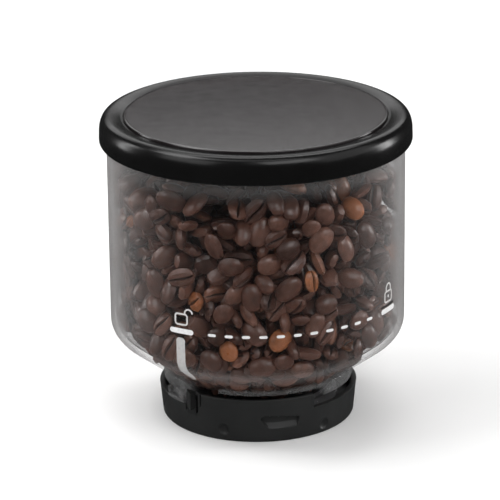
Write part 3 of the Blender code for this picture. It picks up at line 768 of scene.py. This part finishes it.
SCALE_Z = 46.86
UNLOCK_AT, LOCK_AT = -30.0, 60.0
DASHES, FIRST_DASH_AT, DASH_STEP = 11, -17.5, 6.49
STRIPE_TOP, STRIPE_END, STRIPE_HALF_WIDTH = 44.4, 25.38, 1.72
white_ink = ink("white_ink", (0.80, 0.80, 0.80), 0.96)
grey_ink = ink("icon_ink", (0.74, 0.72, 0.71), 0.72)
thin_ink = ink("stripe_ink", (0.74, 0.74, 0.74), 0.46)
# A near-black layer for the painted shadow over the locked bar.
painted_shadow_layer = ink("painted_shadow", (0.02, 0.02, 0.02), 0.85)
prints = []
for label, bearing in (("unlock", UNLOCK_AT), ("lock", LOCK_AT)):
    across, up = stadium(9.4, 1.9)
    prints.append((printed_patch(f"bar_{label}", across, up + SCALE_Z, bearing), white_ink))
for number in range(DASHES):
    across, up = stadium(2.9, 1.05, 8)
    patch = printed_patch(f"dash_{number + 1}", across, up + SCALE_Z, FIRST_DASH_AT + DASH_STEP * number)
    prints.append((patch, white_ink))
# Over the locked bar lies a thin dark strip: painted shadow, laid on the wall like the ink.
across, up = stadium(9.2, 0.75)
prints.append((printed_patch("bar_painted_shadow", across - 0.4, up + SCALE_Z + 1.75, LOCK_AT), painted_shadow_layer))

quarter = np.linspace(0, np.pi / 2, 5)


def padlock(label, bearing, base_z, width, height, arch, swing):
    """A padlock of strokes: a body with rounded corners, and a half-round shackle over it, moved aside when open."""
    corner = 0.9
    half = width / 2 - corner
    corners = ((half, corner, -np.pi / 2), (half, height - corner, 0),
               (-half, height - corner, np.pi / 2), (-half, corner, np.pi))
    loop = [(x + corner * math.cos(start + q), z + corner * math.sin(start + q))
            for x, z, start in corners for q in quarter]
    loop = np.array(loop + loop[:2])
    across, up = stroke(loop, 0.62)
    prints.append((printed_patch(f"padlock_{label}_body", across, up + base_z, bearing, 0.10), grey_ink))
    bend = np.linspace(0, np.pi, 15)
    side = width * 0.31
    hoop = np.stack([side * np.cos(bend) + swing, height + arch + side * np.sin(bend)], -1)
    foot = height + (0.9 if swing else 0.3)
    legs_right = np.stack([np.full(3, side + swing), np.linspace(foot, height + arch, 3)], -1)
    legs_left = np.stack([np.full(3, -side + swing), np.linspace(height + arch, height + 0.1, 3)], -1)
    across, up = stroke(np.vstack([legs_right[:-1], hoop, legs_left[1:]]), 0.6)
    prints.append((printed_patch(f"padlock_{label}_shackle", across, up + base_z, bearing, 0.11), grey_ink))


padlock("open", UNLOCK_AT, 49.3, 4.7, 3.9, 0.5, 2.9)
padlock("closed", LOCK_AT, 49.9, 4.9, 3.9, 1.3, 0.0)
across, up = stadium(1.0, 1.1, 8)
prints.append((printed_patch("keyhole", across, up + 51.9, LOCK_AT, 0.11), grey_ink))

# The stripe has rounded ends: its width grows and falls as square roots, faster at the top than at the bottom.
run = np.linspace(0, 1, 40)
stripe_z = STRIPE_TOP + (STRIPE_END - STRIPE_TOP) * run
wide_at = STRIPE_HALF_WIDTH * np.minimum(1, np.sqrt(((1 - run) / 0.2).clip(0)))
wide_at = (wide_at * np.minimum(1, 0.35 + np.sqrt((run / 0.04).clip(0, 1)) * 0.65)).clip(0.1)
share = np.linspace(-1, 1, 6)[:, None]
stripe_across = share * wide_at[None] * VESSEL_EDGE / wall_radius(stripe_z)[None]
stripe_up = np.repeat(stripe_z[None], 6, 0)
prints.append((printed_patch("stripe", stripe_across, stripe_up, UNLOCK_AT - 0.4), thin_ink))
for patch, finish in prints:
    patch.data.materials.append(finish)
    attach(patch, "hopper")


# Collar: a black moulded ring that twists into the grinder. Two long windows in its rim let the lugs travel, a
# flange holds the gate, and its wall has a pointer, dimples from the mould and a recess that the catch crosses.

COLLAR_R, COLLAR_FOOT_R, COLLAR_BORE, COLLAR_HIGH_BORE = 35.8, 34.7, 33.65, 34.5
LOW_RIM, HIGH_RIM = 11.25, 16.4
WINDOW = (33.4, 142.8)
DIMPLES = ((-79.0, 3.4), (-20.9, 4.4), (41.8, 3.4), (101.0, 3.4), (159.1, 4.4), (221.8, 3.4))
POINTER_AT, GROOVE_AT, CATCH_AT = 12.4, -35.4, -42.25
POINTER = np.array([(-7.15, 9.1), (-4.1, 5.4), (6.4, 5.1), (7.15, 8.7), (6.4, 9.2), (-5.8, 10.3)])


def inside_depth(x, y, corners, soft):
    """How far points lie inside a convex outline given anticlockwise, as a smooth step over the distance soft."""
    nearest = np.full(x.shape, 1e9)
    for (ax, ay), (bx, by) in zip(corners, np.roll(corners, -1, axis=0)):
        length = math.hypot(bx - ax, by - ay)
        nearest = np.minimum(nearest, ((bx - ax) * (y - ay) - (by - ay) * (x - ax)) / length)
    share = (nearest / soft).clip(0, 1)
    return share * share * (3 - 2 * share)


def gap_from(angle, middle):
    """Signed degrees from the middle angle, between -180 and 180."""
    return (angle - middle + 180) % 360 - 180


def collar_surface():
    """The ring as a section carried round the axis, with its rim's height and its wall's depth set by the angle.

    Section points above the windows' floor are spread evenly up to the rim's height at that angle, and the outer
    wall is drawn in by the depth of the recess, dimples, groove and notch at that angle and height.
    """
    edges = np.array([WINDOW[0], WINDOW[1], WINDOW[0] + 180, WINDOW[1] + 180])
    fine = [np.arange(-180, 180, 0.6), np.arange(-48, -33, 0.15), np.arange(-1, 26, 0.25)]
    fine += [np.arange(a - 4, a + 4, 0.35) for a, _ in DIMPLES]
    fine += [(e + np.array([-0.5, -0.05, 0.05, 0.5]) + 180) % 360 - 180 for e in edges]
    angle = np.unique(np.round((np.concatenate(fine) + 180) % 360 - 180, 3))
    half = (WINDOW[1] - WINDOW[0]) / 2
    middles = (WINDOW[0] + half, WINDOW[0] + half + 180)
    near = np.minimum(*[np.abs(gap_from(angle, middle)) for middle in middles])
    top = np.where(near < half, LOW_RIM, HIGH_RIM)
    # Beside a window's end the bore is wide all the way down, so the step in the rim stays clear of the skirt.
    beside = np.min([np.abs(gap_from(angle, edge)) for edge in edges], axis=0) < 0.2
    split = 10.6
    lip = top - 0.3
    rise = np.linspace(0, 1, 8)[1:, None]
    level = np.ones(len(angle))

    def bore(height):
        return np.where(beside, COLLAR_HIGH_BORE, bore_line(height))

    rows = [(outer_line(z) * level, z * level)
            for z in np.concatenate([[0, 0.12, 0.3, 0.5], np.arange(0.8, split, 0.28), [split]])]
    rows += [(outer_line(height), height) for height in split + (lip - split) * rise]
    wall = slice(0, len(rows))
    rows += [((COLLAR_R + dr) * level, lip + dz) for dr, dz in ((-0.06, 0.17), (-0.18, 0.27), (-0.34, 0.3))]
    rows += [(bore(top) + dr, lip + dz) for dr, dz in ((0.3, 0.3), (0.1, 0.22), (0.0, 0.0))]
    rows += [(bore(height), height) for height in (split + (lip - split) * rise)[-2::-1]]
    flange = ((COLLAR_BORE, split), (COLLAR_BORE, 3.7), (28.25, 3.7), (28.0, 3.45), (28.0, 2.25),
              (28.25, 2.0), (33.0, 2.0), (33.0, 0.25), (33.25, 0.0), (34.05, 0.0))
    rows += [(r * level, z * level) for r, z in flange]
    radius, height = np.array(rows).transpose(1, 0, 2)
    radius[wall] -= wall_depth(np.broadcast_to(angle, radius[wall].shape), height[wall])
    turn = np.radians(angle)[None]
    points = np.stack([radius * np.sin(turn), -radius * np.cos(turn), height], -1).reshape(-1, 3) * 0.001
    size = len(angle)
    row, column = np.arange(len(rows))[:, None], np.arange(size)[None]
    below, after = (row + 1) % len(rows), (column + 1) % size
    quads = np.stack([row * size + column, row * size + after, below * size + after, below * size + column], -1)
    return mesh_object("collar_ring", points, quads.reshape(-1, 4).tolist())


def outer_line(height):
    """Outer radius by linear steps: a small foot radius, then a slight widening towards the rim."""
    radii = [34.2, 34.5, COLLAR_FOOT_R, COLLAR_R - 0.15, COLLAR_R, COLLAR_R]
    return np.interp(height, [0, 0.15, 0.5, 10.5, 12.5, 17], radii)


def bore_line(height):
    """Inner radius by linear steps: narrow below the vessel's skirt and wider round it."""
    radii = [COLLAR_BORE, COLLAR_BORE, COLLAR_HIGH_BORE, COLLAR_HIGH_BORE]
    return np.interp(height, [0, 13.0, 13.6, 17], radii)


def wall_depth(angle, height):
    """How deep the wall is drawn in, in mm: the deepest of the pointer, dimples, groove and catch notch."""
    across = np.radians(gap_from(angle, POINTER_AT)) * 35.3
    floor = ((height - 5.2) / 2.2).clip(0.12, 1) * 1.35
    depth = inside_depth(across, height, POINTER, 0.22) * floor
    for middle, z in DIMPLES:
        away = np.hypot(np.radians(gap_from(angle, middle)) * 35.2, height - z)
        depth = np.maximum(depth, 0.85 * (1 - (away / 2.05) ** 2).clip(0) ** 0.7)
    groove = (0.32 - np.abs(np.radians(gap_from(angle, GROOVE_AT)) * 35.8)).clip(0) / 0.12
    depth = np.maximum(depth, np.minimum(groove, 1) * 0.7 * (height > 12.0))
    notch = np.array([(-3.05, 8.8), (3.05, 8.8), (3.05, 13.1), (-3.05, 13.1)])
    across = np.radians(gap_from(angle, CATCH_AT)) * 35.6
    return np.maximum(depth, inside_depth(across, height, notch, 0.2) * 1.5)


collar_ring = collar_surface()
collar_black = moulded_plastic(
    "collar_black", (0.019, 0.0195, 0.0195), (0.026, 0.0265, 0.0265), 0.42, 0.52, 0.35, 0.3)
collar_ring.data.materials.append(collar_black)
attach(collar_ring, "collar")
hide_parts("collar")


# Catch: a small black ramp that snaps out through the collar's wall and stops the hopper turning. Its solid keeps
# its shape, and a copy with merged corners takes small rounded edges.

catch_ramp = bpy.data.objects.new("catch_ramp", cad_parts["catch"].data.copy())
bpy.context.scene.collection.objects.link(catch_ramp)
weld = catch_ramp.modifiers.new("merge", "WELD")
weld.merge_threshold = 0.00001
soften = catch_ramp.modifiers.new("edges", "BEVEL")
soften.width = 0.00012
soften.segments = 2
soften.limit_method = "ANGLE"
soften.angle_limit = math.radians(35)
catch_ramp.data.materials.clear()
catch_ramp.data.materials.append(
    moulded_plastic("catch_black", (0.016, 0.0165, 0.0165), (0.022, 0.0225, 0.0225), 0.4, 0.5, 0.3))
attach(catch_ramp, "catch")
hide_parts("catch")


# Studio: a pale floor that reflections leave out, broad soft lights on the left, the right and in front, two long
# ones overhead with a gap between them, narrow ones at the sides and a panel behind, which the lid's disc mirrors.

FLOOR_HALF, FLOOR_Z = 4.0, -0.00005
floor_points = FLOOR_HALF * np.array([(-1, -1, 0), (1, -1, 0), (1, 1, 0), (-1, 1, 0)]) + [0, 0, FLOOR_Z]
mesh = bpy.data.meshes.new("floor")
mesh.from_pydata(floor_points.tolist(), [], [(0, 1, 2, 3)])
floor = bpy.data.objects.new("floor", mesh)
bpy.context.scene.collection.objects.link(floor)
made, tree, output = new_material("pale_floor")
shader = tree.nodes.new("ShaderNodeBsdfPrincipled")
shader.inputs["Roughness"].default_value = 0.8
shader.inputs["Specular IOR Level"].default_value = 0.1
pale = mottled(tree, (3, 2), (0.3, (0.92, 0.92, 0.918)), (0.7, (0.935, 0.935, 0.932)))
wire(tree, pale, shader.inputs["Base Color"])
wire(tree, shader.outputs["BSDF"], output.inputs["Surface"])
mesh.materials.append(made)
floor.visible_glossy = False


def soft_light(name, place, aim, size, power):
    """A rectangular white light at place, in metres, turned to face the point aim."""
    lamp = bpy.data.lights.new(name, "AREA")
    lamp.shape = "RECTANGLE"
    lamp.size, lamp.size_y = size
    lamp.energy = power
    thing = bpy.data.objects.new(name, lamp)
    thing.location = place
    thing.rotation_euler = (Vector(aim) - Vector(place)).to_track_quat("-Z", "Y").to_euler()
    bpy.context.scene.collection.objects.link(thing)


# Each light's power is its brightness times pi times its area.
for name, place, aim, (wide, tall), brightness in (
    ("over_back", (-0.10, 0.37, 1.08), (0, 0, 0.1), (1.2, 0.2), 5.0),
    ("over_front", (0.0, -0.36, 1.06), (0, 0, 0.1), (1.0, 0.18), 3.0),
    ("left_key", (-0.60, -0.10, 0.95), (0, 0, 0.07), (0.46, 0.44), 8.0),
    ("left_soft", (-0.85, -0.62, 0.70), (0, 0, 0.06), (0.8, 0.6), 2.2),
    ("front_fill", (0.55, -1.10, 1.20), (0, 0, 0.05), (1.0, 0.7), 4.4),
    ("right_soft", (1.15, -0.30, 0.85), (0, 0, 0.06), (1.5, 1.2), 1.1),
    ("right_strip", (1.05, 0.30, 0.24), (0, 0, 0.06), (0.26, 0.44), 12.0),
    ("left_strip", (-1.15, 0.40, 0.4), (0, 0, 0.06), (0.25, 0.8), 7.0),
    ("back_panel", (-0.10, 1.6, 1.01), (0, 0, 0.11), (1.8, 0.7), 1.5),
    ("floor_wash", (0.0, 1.3, 1.9), (0, 0.45, 0.0), (1.6, 0.9), 1.4),
):
    soft_light(name, place, aim, (wide, tall), brightness * math.pi * wide * tall)

world = bpy.data.worlds.new("studio")
bpy.context.scene.world = world
world.use_nodes = True
world.node_tree.nodes["Background"].inputs["Color"].default_value = (1, 1, 1, 1)
world.node_tree.nodes["Background"].inputs["Strength"].default_value = 0.03
bpy.context.scene.view_settings.view_transform = "Standard"

LENS, ROLL = 213.27, -0.0107354
STAND, AIM = Vector((-0.002483, -1.0042, 0.41181)), Vector((-0.002483, 0, 0.06022))
eye = bpy.data.cameras.new("eye")
eye.sensor_width = 36
eye.lens = LENS
eye.clip_start, eye.clip_end = 0.05, 30
camera = bpy.data.objects.new("eye", eye)
camera.rotation_mode = "QUATERNION"
camera.location = STAND
camera.rotation_quaternion = (AIM - STAND).to_track_quat("-Z", "Y") @ Quaternion((0, 0, 1), ROLL)
bpy.context.scene.collection.objects.link(camera)
bpy.context.scene.camera = camera
